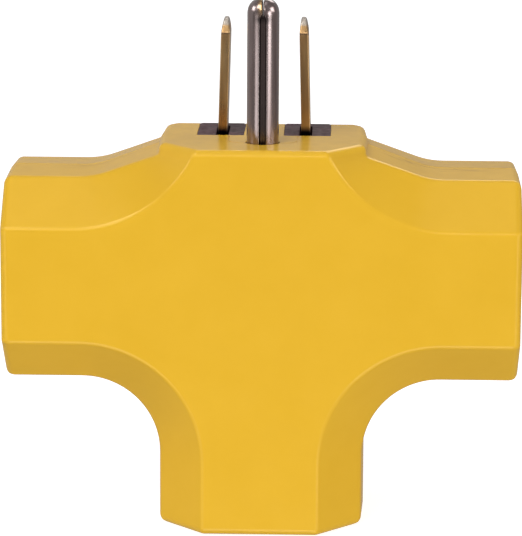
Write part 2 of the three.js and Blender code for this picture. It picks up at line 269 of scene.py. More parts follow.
def outer_shoulder(draft):
    side = HUB_HALF_WIDTH + draft
    path = [
        (side, -FIRST_LEG),
        (side, HUB_SIDE_END + draft),
        (RAMP_FOOT_X, ARM_TOP + draft),
        (SHOULDER_X, ARM_TOP + draft),
    ]
    longest = LEG_SHARE * (-FIRST_LEG - HUB_SIDE_END - draft)
    softness = [min(HUB_CORNER_SOFTNESS, longest), KNEE_SOFTNESS]
    return [(side, 0)] + resampled(softened(path, softness), SHOULDER_STEPS - 1)


def body_outline(inset, draft):
    """The outline in X and Z at one depth, inset by the chamfer or moved out by the draft."""
    shoulder = flat_shoulder() if inset else outer_shoulder(draft)
    radius = CROTCH_RADIUS + inset - draft
    crotch = arc((CROTCH_X, CROTCH_Z), radius, math.pi / 2, math.pi, CROTCH_STEPS)
    half = shoulder + [(REACH, shoulder[-1][1]), (REACH, CROTCH_Z + radius)]
    half += crotch + [(CROTCH_X - radius, STEM_END)]
    return half + [(-x, z) for x, z in reversed(half)]


HALF_COUNT = SHOULDER_STEPS + 1 + 2 + CROTCH_STEPS + 1 + 1
HUB_CORNER = 0
ARM_TOP_CORNER = SHOULDER_STEPS + 1
ARM_BOTTOM_CORNER = SHOULDER_STEPS + 2
STEM_CORNER = HALF_COUNT - 1


def body_half(side):
    """One half of the body, front (-1) or back (1), with every moulded edge rounded and half of a
    fine seam groove where it meets the other."""
    levels = [
        (HALF_DEPTH, body_outline(CHAMFER_WIDTH, 0)),
        (SHOULDER_Y, body_outline(0, 0)),
        (SEAM_HALF, body_outline(0, DRAFT)),
        (0, body_outline(0, DRAFT - SEAM_DEPTH)),
    ]
    bm = bmesh.new()
    rings = [ring_of(bm, [(x, side * y, z) for x, z in outline]) for y, outline in levels]
    join_rings(bm, rings)
    bmesh.ops.recalc_face_normals(bm, faces=bm.faces)
    weight = bm.edges.layers.float.new("bevel_weight_edge")
    count = 2 * HALF_COUNT
    plug_edge = count - 1
    end_edges = (ARM_TOP_CORNER, count - 2 - ARM_TOP_CORNER, STEM_CORNER)

    def set_round(a, b, size):
        bm.edges.get((a, b))[weight] = size / ROUND_MAX

    for i in range(count):
        following = (i + 1) % count
        size = ROUND_PLUG if i == plug_edge else ROUND_END if i in end_edges else ROUND_CHAMFER
        set_round(rings[0][i], rings[0][following], size)
        if i != plug_edge and i not in end_edges:
            set_round(rings[1][i], rings[1][following], ROUND_CHAMFER)
    corners = {
        HUB_CORNER: ROUND_PLUG,
        ARM_TOP_CORNER: ROUND_END,
        ARM_BOTTOM_CORNER: ROUND_END,
        STEM_CORNER: ROUND_END,
    }
    for ring, following in zip(rings, rings[1:]):
        for corner, size in corners.items():
            for i in (corner, count - 1 - corner):
                set_round(ring[i], following[i], size)
    if side > 0:
        for edge in slope_back(bm, BACK_BEVEL_START):
            on_back = all(vert.co.y > (HALF_DEPTH - FACE_TOLERANCE) * MM for vert in edge.verts)
            edge[weight] = 0 if on_back else ROUND_CHAMFER / ROUND_MAX
    body = new_object("body_half", bm)
    bevel = body.modifiers.new("rounding", "BEVEL")
    bevel.limit_method = "WEIGHT"
    bevel.width = ROUND_MAX * MM
    bevel.segments = ROUND_SEGMENTS
    bevel.use_clamp_overlap = False
    bevel.miter_outer = "MITER_SHARP"
    apply_modifier(body, bevel)
    return body


def slope_back(bm, start):
    """Cuts the back of the plug end away at 45 degrees, from this depth on the plug face, and gives
    the edges of the new face."""
    cut = bmesh.ops.bisect_plane(
        bm,
        geom=list(bm.verts) + list(bm.edges) + list(bm.faces),
        plane_co=Vector((0, start, 0)) * MM,
        plane_no=Vector((0, 1, 1)).normalized(),
        clear_outer=True,
    )
    rim = [item for item in cut["geom_cut"] if isinstance(item, bmesh.types.BMEdge)]
    bmesh.ops.contextual_create(bm, geom=rim)
    return rim


# --- Cutting tools --------------------------------------------------------------------------------

def octagon(half_width, half_depth, chamfer):
    """The section of an arm or of the stem, as points (across, depth)."""
    w, d, c = half_width, half_depth, chamfer
    quarter = [(w, d - c), (w - c, d), (c - w, d), (-w, d - c)]
    return quarter + [(-a, -b) for a, b in quarter]


def hollow_tools():
    """The hollows of the arms and of the stem, the stem's a step smaller so that no faces
    coincide."""
    end = REACH - END_WALL
    across = octagon(ARM_HALF_HEIGHT - WALL, HALF_DEPTH - WALL, CAVITY_CHAMFER)
    arms = lofted("arm_hollow", [[(x, d, w + ARM_Z) for w, d in across] for x in (-end, end)])
    inset = WALL + HOLLOW_STEP
    upright = octagon(ARM_HALF_HEIGHT - inset, HALF_DEPTH - inset, CAVITY_CHAMFER)
    bm = bmesh.new()
    ends = (STEM_END + END_WALL, -PLUG_WALL)
    join_rings(bm, [ring_of(bm, [(w, d, z) for w, d in upright]) for z in ends])
    slope_back(bm, BACK_BEVEL_START - WALL * math.sqrt(2))
    return [arms, new_object("stem_hollow", bm)]


def opening_tool(name, outline, place, depth, flare=0.3, steps=4):
    """A cutter for a hole with a rounded mouth. outline(grow) gives its points, and
    place(a, b, out) puts them in the body, out being the distance beyond the outer face. The
    mouth's last ring stands a hair above the face, so that no edge lies in it."""
    levels = [(0, -depth)]
    for i in range(steps + 1):
        angle = math.pi / 2 * i / steps
        levels.append((flare * (1 - math.cos(angle)), HAIR - flare * (1 - math.sin(angle))))
    levels.append((flare, CUTTER_RISE))
    return lofted(name, [[place(a, b, out) for a, b in outline(grow)] for grow, out in levels])


def slot_outline(centre_a, centre_b, half_a, half_b, corner=0.3):
    def outline(grow):
        points = rounded_rectangle(half_a + grow, half_b + grow, corner + grow)
        return [(a + centre_a, b + centre_b) for a, b in points]
    return outline


def ground_outline(radius=2.7, flat=2.5, corner=0.5):
    """A hole that is round in front and flat towards the slots. Points are (across, depth)."""
    def outline(grow):
        r = radius + grow
        points = arc((0, PIN_Y), r, math.pi, 2 * math.pi, 20)
        inner = corner + grow
        back = PIN_Y + flat + grow - inner
        points += arc((r - inner, back), inner, 0, math.pi / 2, 4)
        points += arc((inner - r, back), inner, math.pi / 2, math.pi, 4)
        return points
    return outline


def circle_outline(radius, centre_b, steps=48):
    def outline(grow):
        return arc((0, centre_b), radius + grow, 0, 2 * math.pi * (1 - 1 / steps), steps - 1)
    return outline


# Where an outlet's own directions lie: across its face, and outwards from it.
OUTLETS = {
    "right": lambda a, b, out: (REACH + out, b, ARM_Z + a),
    "left": lambda a, b, out: (-REACH - out, b, ARM_Z - a),
    "bottom": lambda a, b, out: (a, b, STEM_END - out),
}


def outlet_tools():
    tools = []
    for name, place in OUTLETS.items():
        holes = {
            "line": slot_outline(-BLADE_X, BLADE_Y, SLOT_HALF_HEIGHT, LINE_SLOT_HALF_WIDTH),
            "neutral": slot_outline(BLADE_X, BLADE_Y, SLOT_HALF_HEIGHT, NEUTRAL_SLOT_HALF_WIDTH),
            "ground": ground_outline(),
        }
        for hole, outline in holes.items():
            depth = END_WALL + CUTTER_OVERRUN
            tools.append(opening_tool(f"{name}_{hole}_hole", outline, place, depth))
    return tools


def on_plug_face(a, b, out):
    return (a, b, out)


def plug_face_tools():
    near, far = WINDOW_X
    front, back = WINDOW_Y
    depth = PLUG_WALL + CUTTER_OVERRUN
    half_size = ((far - near) / 2, (back - front) / 2)
    tools = []
    for side in (-1, 1):
        middle = (side * (near + far) / 2, (front + back) / 2)
        outline = slot_outline(*middle, *half_size, corner=0.25)
        tools.append(opening_tool("window", outline, on_plug_face, depth, flare=0.12))
    pin = circle_outline(PIN_RADIUS + PIN_HOLE_CLEARANCE, PIN_Y)
    tools.append(opening_tool("pin_hole", pin, on_plug_face, depth, flare=0.2))
    tools.append(pad_seam_tool())
    return tools


def pad_seam_tool(half_width=5.2, front=-8.4, corner=2.4, groove=0.07, depth=0.1, short=0.6):
    """The fine U-shaped joint line round the foot of the ground pin. It is open towards the windows
    and ends a little short of them."""
    back = WINDOW_Y[0] - short

    def u_path(grow):
        r = corner + grow
        right = arc((half_width - corner, front + corner), r, 0, -math.pi / 2, 8)
        left = arc((corner - half_width, front + corner), r, -math.pi / 2, -math.pi, 8)
        return [(half_width + grow, back)] + right + left + [(-half_width - grow, back)]

    outline = u_path(groove) + list(reversed(u_path(-groove)))
    return lofted("pad_seam", [[(x, y, z) for x, y in outline] for z in (-depth, CUTTER_RISE)])


def build_covers():
    tools = hollow_tools() + outlet_tools() + plug_face_tools()
    covers = {}
    for name, side in (("front_cover", -1), ("back_cover", 1)):
        cover = body_half(side)
        cover.name = f"{name}_shell"
        for tool in tools:
            boolean(cover, tool, "DIFFERENCE")
        smooth(cover)
        covers[name] = cover
    for tool in tools:
        bpy.data.objects.remove(tool)
    return covers


# --- Plug insert, blades and ground pin -----------------------------------------------------------

def blocks(name, spans):
    """Boxes, each given as its spans along X, Y and Z in millimetres."""
    bm = bmesh.new()
    for span in spans:
        centre = Vector([(a + b) / 2 for a, b in span])
        size = Vector([abs(b - a) for a, b in span])
        matrix = Matrix.Translation(centre * MM) @ Matrix.Diagonal((*(size * MM), 1))
        bmesh.ops.create_cube(bm, size=1, matrix=matrix)
    return new_object(name, bm)


def bevelled(obj, width, segments=3):
    bevel = obj.modifiers.new("rounding", "BEVEL")
    bevel.limit_method = "ANGLE"
    bevel.angle_limit = math.radians(30)
    bevel.width = width * MM
    bevel.segments = segments
    apply_modifier(obj, bevel)


INSERT_RECESS = 0.09
INSERT_GAP = 0.01
# The base plate lies under the plug wall, and its back edge stops short of the windows' back edge.
INSERT_PLATE_GAP = 0.05
INSERT_PLATE_SHORT = 0.9
PAD_OVERLAP = 0.3
PAD_CORNER = 0.2
BLADE_HOLE_HALF_WIDTH = 0.95
BLADE_HOLE_BACK = 8.1
BLADE_HOLE_RIM = 0.1
BLADE_HOLE_DEPTH = 9
LIP_MARGIN = 0.25
LIP_Y = (-0.42, -0.12)
LIP_Z = (-0.5, -0.03)
LIP_ROUND = 0.05


def on_insert_top(a, b, out):
    return (a, b, out - INSERT_RECESS)


def window_pad(middle, half_a, half_b):
    """A pad that fills a window, the edge of its top rounded off in two small steps."""
    levels = [
        (0, -PLUG_WALL - PAD_OVERLAP),
        (0, -INSERT_RECESS - 0.05),
        (0.015, -INSERT_RECESS - 0.015),
        (0.05, -INSERT_RECESS),
    ]
    outlines = []
    for inset, z in levels:
        outline = rounded_rectangle(half_a - inset, half_b - inset, PAD_CORNER)
        outlines.append([(x + middle[0], y + middle[1], z) for x, y in outline])
    return lofted("pad", outlines)


def blade_hole(side, front):
    outline = slot_outline(
        side * BLADE_X,
        (front + BLADE_HOLE_BACK) / 2,
        BLADE_HOLE_HALF_WIDTH,
        (BLADE_HOLE_BACK - front) / 2,
    )
    return opening_tool("blade_hole", outline, on_insert_top, BLADE_HOLE_DEPTH, flare=0.08)


def build_insert():
    """The dark moulding: a base plate and the two pads that fill the windows, each with a hole
    round its blade and a low lip along its back edge."""
    low, high = [in_mm(corner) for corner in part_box("plug_insert")]
    near, far = WINDOW_X
    front, back = WINDOW_Y
    insert = blocks("plug_insert_moulding", [(
        (low[0], high[0]),
        (low[1], back - INSERT_PLATE_SHORT),
        (low[2], -PLUG_WALL - INSERT_PLATE_GAP),
    )])
    half = ((far - near) / 2 - INSERT_GAP, (back - front) / 2 - INSERT_GAP)
    for side in (-1, 1):
        pad = window_pad((side * (near + far) / 2, (front + back) / 2), *half)
        boolean(insert, pad, "UNION")
        bpy.data.objects.remove(pad)
        hole = blade_hole(side, front + INSERT_GAP + BLADE_HOLE_RIM)
        boolean(insert, hole, "DIFFERENCE")
        bpy.data.objects.remove(hole)
    lip_y = (back + LIP_Y[0], back + LIP_Y[1])
    lip = blocks("lip", [
        ((side * (near + LIP_MARGIN), side * (far - LIP_MARGIN)), lip_y, LIP_Z)
        for side in (-1, 1)
    ])
    bevelled(lip, LIP_ROUND, 2)
    insert = joined("plug_insert_moulding", [insert, lip])
    smooth(insert)
    return insert


BLADE_TIP = in_mm(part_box("line_blade")[1])[2]
BLADE_LINE_Z = BLADE_TIP - 2.05
BLADE_LINE_HALF = 0.22
BLADE_BARE_Z = BLADE_TIP - 1.0
BLADE_LEAN = 0.45
BLADE_HALF = 0.70
BLADE_EDGE = 0.2
BLADE_ROOT = -9.0

# The feet that the blades and the pin are riveted by, and the webs that join them to their feet
FOOT_HALF_WIDTH = 2.2
FOOT_THICKNESS = 0.8
FOOT_TOP = -7.5
FOOT_ROUND = 0.25
WEB_BOTTOM = -9
BLADE_WEB_TOP = -7.6
PIN_WEB_TOP = -5.5
BRASS_SHARP_ANGLE = 40


def riveted_foot(x, span_y, bottom):
    span_x = (x - FOOT_HALF_WIDTH, x + FOOT_HALF_WIDTH)
    foot = blocks("foot", [(span_x, span_y, (bottom, FOOT_TOP))])
    bevelled(foot, FOOT_ROUND)
    return foot


def build_blade(node, side):
    """A stamped blade, leaning inwards: long edges slightly rounded, tip tapered, corners cut."""
    low, high = [in_mm(corner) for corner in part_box(node)]
    tip = high[2]
    half_width = BLADE_WIDTH / 2
    # Below the tip, share of the thickness, amount off the width, and rounding
    taper = [
        (tip - BLADE_ROOT, 1, 0, 1),
        (tip, 1, 0, 1),
        (2.6, 1, 0, 1),
        (2.0, 0.98, 0.02, 1),
        (1.6, 0.92, 0.22, 1),
        (0.9, 0.78, 0.75, 0.9),
        (0.35, 0.62, 1.15, 0.8),
        (0.08, 0.45, 1.4, 0.6),
        (0.0, 0.28, 1.55, 0.4),
    ]
    sections = []
    for below, thickness, narrowed, rounding in taper:
        z = tip - below
        x = side * (BLADE_X - BLADE_LEAN * max(z, 0) / tip)
        half = (BLADE_HALF * thickness, half_width - narrowed)
        outline = rounded_rectangle(*half, BLADE_EDGE * rounding, steps=3)
        sections.append([(x + a, BLADE_Y + b, z) for a, b in outline])
    blade = lofted(f"{node}_stamping", sections)
    outer = low[1] if side > 0 else high[1]
    inner = outer + side * FOOT_THICKNESS
    x = side * BLADE_X
    foot = riveted_foot(x, (outer, inner), low[2])
    web_y = (BLADE_Y, (outer + inner) / 2)
    web = blocks("web", [((x - BLADE_HALF, x + BLADE_HALF), web_y, (WEB_BOTTOM, BLADE_WEB_TOP))])
    blade = joined(f"{node}_stamping", [blade, foot, web])
    smooth(blade, BRASS_SHARP_ANGLE)
    return blade


PIN_TOP = in_mm(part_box("ground_pin")[1])[2]
PIN_DOME = 2.45
PIN_DOME_POWER = 2.35
PIN_GROOVE = 0.5
PIN_GROOVE_TOP = 3.1
PIN_GROOVE_CLOSE = 1.9
PIN_SLIT = 0.05
# The groove stays this much wider than the slit, so that no two points of a section coincide.
PIN_SEAM_STEP = 0.01
PIN_LOBE_ROUND = 0.75
PIN_LIP_ROUND = 0.13
PIN_BACK_ROUND = 0.02
PIN_ROUND_SHARE = 0.4
# The groove's floor, as a share of the radius in front of the pin's axis, and how its edge is cut
PIN_FLOOR = 0.38
PIN_FLOOR_CUT = 0.3
PIN_FLOOR_RISE = 0.15
PIN_SHAFT_LEVELS = (-6, -3, 0, 3, 6, 9, 12, 15, 17)
PIN_END_STEPS = 34
PIN_CROWN = 0.035


def pin_half_section(radius, groove, slit):
    """The right half of the pin's section: a half disc with its front corner cut back by the seam
    groove."""
    front_round = min(PIN_LIP_ROUND, PIN_ROUND_SHARE * (radius - groove))
    back_round = min(max(slit, PIN_BACK_ROUND), PIN_ROUND_SHARE * (radius - slit))
    front_x = groove + front_round
    front_y = -math.sqrt((radius - front_round) ** 2 - front_x ** 2)
    back_x = slit + back_round
    back_y = math.sqrt((radius - back_round) ** 2 - back_x ** 2)
    front_angle = math.atan2(front_y, front_x)
    back_angle = math.atan2(back_y, back_x)
    floor = -PIN_FLOOR * radius
    points = arc((front_x, front_y), front_round, math.pi, 2 * math.pi + front_angle, 8)
    points += arc((0, 0), radius, front_angle, back_angle, 40)[1:-1]
    points += arc((back_x, back_y), back_round, back_angle, math.pi, 6)
    width = groove - slit
    points += [(slit, floor), (groove - PIN_FLOOR_CUT * width, floor)]
    return points + [(groove, floor - PIN_FLOOR_RISE * radius * width)]


def pin_levels(top):
    """Height, radius, groove half width and slit half width, from the pin's foot to its crown."""
    shaft = PIN_SHAFT_LEVELS + (top - PIN_GROOVE_TOP,)
    levels = [(z, PIN_RADIUS, PIN_GROOVE, 0) for z in shaft]
    for i in range(1, PIN_END_STEPS + 1):
        angle = math.pi / 2 * i / PIN_END_STEPS
        below = PIN_GROOVE_TOP * (1 - math.sin(angle)) + PIN_CROWN
        rise = max(0, 1 - below / PIN_DOME)
        radius = PIN_RADIUS * (1 - rise ** PIN_DOME_POWER) ** (1 / PIN_DOME_POWER)
        opened = (below - PIN_GROOVE_CLOSE) / (PIN_GROOVE_TOP - PIN_GROOVE_CLOSE)
        opened = max(0, min(1, opened))
        closing = max(0, 1 - below / PIN_LOBE_ROUND)
        parted = PIN_LOBE_ROUND * 0.5 * (1 - math.sqrt(1 - closing ** 2))
        slit = PIN_SLIT * min(1, PIN_GROOVE_TOP - below) + parted
        groove = max(slit + PIN_SEAM_STEP, PIN_GROOVE * opened ** 0.8)
        levels.append((top - below, radius, groove, slit))
    return levels


def build_pin():
    """The ground pin: strip rolled round, its seam in front and its end folded into two lobes. The
    halves stand a hair apart, so that each stays a closed mesh of its own."""
    low, high = [in_mm(corner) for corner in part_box("ground_pin")]
    bm = bmesh.new()
    for side in (-1, 1):
        rings = []
        for z, radius, groove, slit in pin_levels(high[2]):
            section = pin_half_section(radius, groove, slit)
            rings.append(ring_of(bm, [(side * (x + HAIR), PIN_Y + y, z) for x, y in section]))
        join_rings(bm, rings)
    pin = new_object("ground_pin_tube", bm)
    foot = riveted_foot(0, (low[1], low[1] + FOOT_THICKNESS), low[2])
    half = BLADE_THICKNESS / 2
    web_y = (low[1] + FOOT_THICKNESS / 2, PIN_Y + 1)
    web = blocks("web", [((-half, half), web_y, (WEB_BOTTOM, PIN_WEB_TOP))])
    pin = joined("ground_pin_tube", [pin, foot, web])
    smooth(pin, BRASS_SHARP_ANGLE)
    return pin


# --- Materials ------------------------------------------------------------------------------------

BLACK = (0, 0, 0)
WHITE = (1, 1, 1)


def set_range(node, start, end, low, high):
    """The range that a Map Range node reads and the one that it gives."""
    names = ("From Min", "From Max", "To Min", "To Max")
    for name, value in zip(names, (start, end, low, high)):
        node.inputs[name].default_value = value


class Nodes:
    """A small helper that builds one node material."""

    def __init__(self, name):
        self.material = bpy.data.materials.new(name)
        self.material.use_nodes = True
        self.tree = self.material.node_tree
        self.shader = self.tree.nodes["Principled BSDF"]

    def node(self, kind, **values):
        node = self.tree.nodes.new(kind)
        for key, value in values.items():
            setattr(node, key, value)
        return node

    def set(self, socket, value):
        """A plain value on one of the shader's own sockets."""
        self.shader.inputs[socket].default_value = value

    def surface(self, colour, roughness):
        """Links the shader's colour and roughness."""
        self.link(colour, self.shader.inputs["Base Color"])
        self.link(roughness, self.shader.inputs["Roughness"])

    def link(self, source, target):
        self.tree.links.new(source, target)

    def position(self):
        return self.node("ShaderNodeTexCoord").outputs["Object"]

    def noise(self, scale, detail=3.0, roughness=0.5, stretch=(1, 1, 1)):
        mapping = self.node("ShaderNodeMapping")
        mapping.inputs["Scale"].default_value = stretch
        self.link(self.position(), mapping.inputs["Vector"])
        noise = self.node("ShaderNodeTexNoise")
        noise.inputs["Scale"].default_value = scale
        noise.inputs["Detail"].default_value = detail
        noise.inputs["Roughness"].default_value = roughness
        self.link(mapping.outputs["Vector"], noise.inputs["Vector"])
        return noise.outputs["Fac"]

    def ramp(self, source, stops):
        ramp = self.node("ShaderNodeValToRGB")
        elements = ramp.color_ramp.elements
        while len(elements) < len(stops):
            elements.new(0.5)
        for element, (place, colour) in zip(elements, stops):
            element.position = place
            element.color = (*colour, 1)
        self.link(source, ramp.inputs["Fac"])
        return ramp.outputs["Color"]

    def spread(self, source, low, high, start=0.3, end=0.7):
        spread = self.node("ShaderNodeMapRange")
        set_range(spread, start, end, low, high)
        self.link(source, spread.inputs["Value"])
        return spread.outputs["Result"]

    def axis(self, name):
        """A point's own X, Y or Z, in metres."""
        separate = self.node("ShaderNodeSeparateXYZ")
        self.link(self.position(), separate.inputs["Vector"])
        return separate.outputs[name]

    def upwards(self):
        """The upward share of a surface's own normal."""
        separate = self.node("ShaderNodeSeparateXYZ")
        self.link(self.node("ShaderNodeNewGeometry").outputs["Normal"], separate.inputs["Vector"])
        return separate.outputs["Z"]

    def distance(self, y):
        """A point's distance, in metres, from an upright axis this far back."""
        offset = self.node("ShaderNodeVectorMath", operation="SUBTRACT")
        self.link(self.position(), offset.inputs[0])
        offset.inputs[1].default_value = (0, y * MM, 0)
        flat = self.node("ShaderNodeVectorMath", operation="MULTIPLY")
        self.link(offset.outputs["Vector"], flat.inputs[0])
        flat.inputs[1].default_value = (1, 1, 0)
        length = self.node("ShaderNodeVectorMath", operation="LENGTH")
        self.link(flat.outputs["Vector"], length.inputs[0])
        return length.outputs["Value"]

    def band(self, source, centre, half):
        """1 where a value in metres is at the centre, fading to 0 at half away. Centre and half are
        in millimetres."""
        below = self.spread(source, 0.0, 1.0, start=(centre - half) * MM, end=centre * MM)
        above = self.spread(source, 1.0, 0.0, start=centre * MM, end=(centre + half) * MM)
        return self.product(below, above)

    def math(self, operation, *sources):
        """One math operation on linked values and plain numbers."""
        result = self.node("ShaderNodeMath", operation=operation)
        for source, target in zip(sources, result.inputs):
            if isinstance(source, (int, float)):
                target.default_value = source
            else:
                self.link(source, target)
        return result.outputs["Value"]

    def product(self, first, *others):
        """All of these linked values multiplied."""
        for other in others:
            first = self.math("MULTIPLY", first, other)
        return first

    def mix(self, share, colour, other):
        """The linked colour, with this share of a plain one over it."""
        mix = self.node("ShaderNodeMix", data_type="RGBA")
        self.link(share, mix.inputs["Factor"])
        self.link(colour, mix.inputs["A"])
        mix.inputs["B"].default_value = (*other, 1)
        return mix.outputs["Result"]

    def bump(self, layers):
        """Bumps in order, each a (height, strength, distance in millimetres)."""
        normal = None
        for height, strength, distance in layers:
            bump = self.node("ShaderNodeBump")
            bump.inputs["Strength"].default_value = strength
            bump.inputs["Distance"].default_value = distance * MM
            self.link(height, bump.inputs["Height"])
            if normal is not None:
                self.link(normal, bump.inputs["Normal"])
            normal = bump.outputs["Normal"]
        self.link(normal, self.shader.inputs["Normal"])


# Where the body is marked along its parting line
MARKS_Y = -0.9
MARKS_HALF = 2.4
MARKS_TOP = -2
MARKS_FADE = 1
MARKS_X = (-10, 18)


def parting_marks(m):
    """How strongly a point is marked, from 0 to 1: thin wandering lines along the parting line, on
    upward faces below the plug face, stronger towards the right."""
    lines = m.ramp(m.noise(560, 2, 0.5, stretch=(0.16, 1, 0.3)), [
        (0.50, BLACK),
        (0.56, WHITE),
        (0.62, BLACK),
    ])
    near = m.band(m.axis("Y"), MARKS_Y, MARKS_HALF)
    below = m.spread(m.axis("Z"), 1.0, 0.0, start=(MARKS_TOP - MARKS_FADE) * MM, end=MARKS_TOP * MM)
    rightwards = m.spread(m.axis("X"), 0.25, 0.9, start=MARKS_X[0] * MM, end=MARKS_X[1] * MM)
    upward = m.spread(m.upwards(), 0.0, 1.0, start=0.3, end=0.6)
    return m.product(lines, m.product(near, below), rightwards, upward)


def yellow_vinyl():
    """Semi-gloss moulded vinyl: one strong yellow with faint cloudy mottling, a slightly wavy
    surface and brown marks along the parting line."""
    m = Nodes("yellow_vinyl")
    cloud = m.noise(120, 4, 0.6)
    colour = m.ramp(cloud, [(0.3, (0.715, 0.414, 0.024)), (0.7, (0.74, 0.432, 0.028))])
    marked = m.mix(parting_marks(m), colour, (0.43, 0.235, 0.013))
    m.surface(marked, m.spread(m.noise(350, 3, 0.6), 0.18, 0.26))
    m.set("Specular IOR Level", 0.5)
    m.set("Specular Tint", (1, 0.86, 0.45, 1))
    m.bump([(m.noise(90, 1, 0.4), 0.25, 0.25), (m.noise(2600, 2, 0.5), 0.12, 0.02)])
    return m.material


def dark_moulding():
    """Dull purple-grey moulding with thin dark flow lines and paler scuffs."""
    m = Nodes("dark_moulding")
    cloud = m.noise(420, 5, 0.65, stretch=(1, 0.7, 1))
    base = m.ramp(cloud, [
        (0.3, (0.037, 0.012, 0.017)),
        (0.52, (0.073, 0.031, 0.036)),
        (0.75, (0.128, 0.072, 0.080)),
    ])
    flow = m.ramp(m.noise(210, 2, 0.5, stretch=(0.6, 1.4, 1)), [
        (0.43, BLACK),
        (0.495, (0.6, 0.6, 0.6)),
        (0.56, BLACK),
    ])
    flowed = m.mix(flow, base, (0.018, 0.010, 0.013))
    m.surface(flowed, m.spread(m.noise(900, 3, 0.5), 0.45, 0.65))
    m.set("Specular IOR Level", 0.2)
    m.set("Specular Tint", (1, 0.85, 0.85, 1))
    m.bump([(m.noise(700, 4, 0.6), 0.6, 0.12)])
    return m.material


def black_moulding():
    """Dull black moulding of the contact carriers."""
    m = Nodes("black_moulding")
    cloud = m.noise(400, 3, 0.5)
    colour = m.ramp(cloud, [(0.3, (0.014, 0.014, 0.016)), (0.7, (0.03, 0.03, 0.032))])
    m.surface(colour, m.spread(m.noise(700, 3, 0.5), 0.45, 0.65))
    m.bump([(m.noise(1500, 3, 0.5), 0.3, 0.05)])
    return m.material


# How far from a blade's middle plane its rubbed flats start, and over what length its bare tip
# fades in
BLADE_FLAT_START = 0.6
BLADE_BARE_FADE = 0.35
# Between which heights above the plug face the painted shade on a blade's foot fades out
BLADE_FOOT_SHADE = (0.15, 1.1)


def blade_offset(m, height):
    """A point's distance, in metres, from the middle plane of the leaning blade that it is on."""
    across = m.axis("X")
    upright, leaning = BLADE_X * MM, (BLADE_X - BLADE_LEAN) * MM
    middle = m.spread(height, upright, leaning, start=0, end=BLADE_TIP * MM)
    offset = m.math("SUBTRACT", across, m.product(m.math("SIGN", across), middle))
    return m.math("ABSOLUTE", offset)


def tarnished_brass():
    """Stamped brass blade: gold-brown with darker tarnish in streaks along its length, rubbed paler
    on its two flats, bare and pale at its tip, with a dark line below that, and painted shade,
    almost black, at its foot where it enters the insert."""
    m = Nodes("tarnished_brass")
    streaks = m.ramp(m.noise(420, 4, 0.6, stretch=(1, 1, 0.07)), [
        (0.28, (0.40, 0.235, 0.10)),
        (0.5, (0.66, 0.43, 0.19)),
        (0.75, (0.88, 0.67, 0.36)),
    ])
    patches = m.noise(160, 2, 0.5, stretch=(1, 1, 0.5))
    tarnished = m.mix(m.spread(patches, 0.3, 0.85), streaks, (0.32, 0.165, 0.07))
    height = m.axis("Z")
    flats_range = {"start": BLADE_FLAT_START * MM, "end": BLADE_HALF * MM}
    flats = m.spread(blade_offset(m, height), 0.0, 0.85, **flats_range)
    rubbed = m.mix(flats, tarnished, (0.80, 0.67, 0.50))
    lined = m.mix(m.band(height, BLADE_LINE_Z, BLADE_LINE_HALF), rubbed, (0.16, 0.10, 0.06))
    bare_range = {"start": BLADE_BARE_Z * MM, "end": (BLADE_BARE_Z + BLADE_BARE_FADE) * MM}
    tipped = m.mix(m.spread(height, 0.0, 0.85, **bare_range), lined, (0.60, 0.55, 0.49))
    # Painted shade: the blade darkens to almost black at its foot, where it enters the insert.
    foot = m.spread(height, 1.0, 0.0, start=BLADE_FOOT_SHADE[0] * MM, end=BLADE_FOOT_SHADE[1] * MM)
    foot_shaded = m.mix(foot, tipped, (0.012, 0.008, 0.012))
    m.surface(foot_shaded, m.spread(m.noise(900, 3, 0.6, stretch=(1, 1, 0.1)), 0.24, 0.4))
    m.set("Metallic", 1.0)
    m.bump([(m.noise(1500, 3, 0.5, stretch=(1, 1, 0.05)), 0.3, 0.02)])
    return m.material


# Where the pin's wear and painted shade lie along it, below its top
PIN_END_FADE = (3.0, 1.4)
PIN_PINCH = 2.9
PIN_PINCH_HALF = 0.9
# Where they lie across it, from its middle plane
PIN_PINCH_SPREAD = (0.45, 1.6)
PIN_SLIT_SPREAD = (0.12, 0.3)
PIN_WEAR_LEFT = (-0.95, -0.35)
PIN_WEAR_RIGHT = 0.12
# How far from its axis the painted shade inside the seam ends
PIN_INSIDE_RADIUS = (2.0, 2.15)


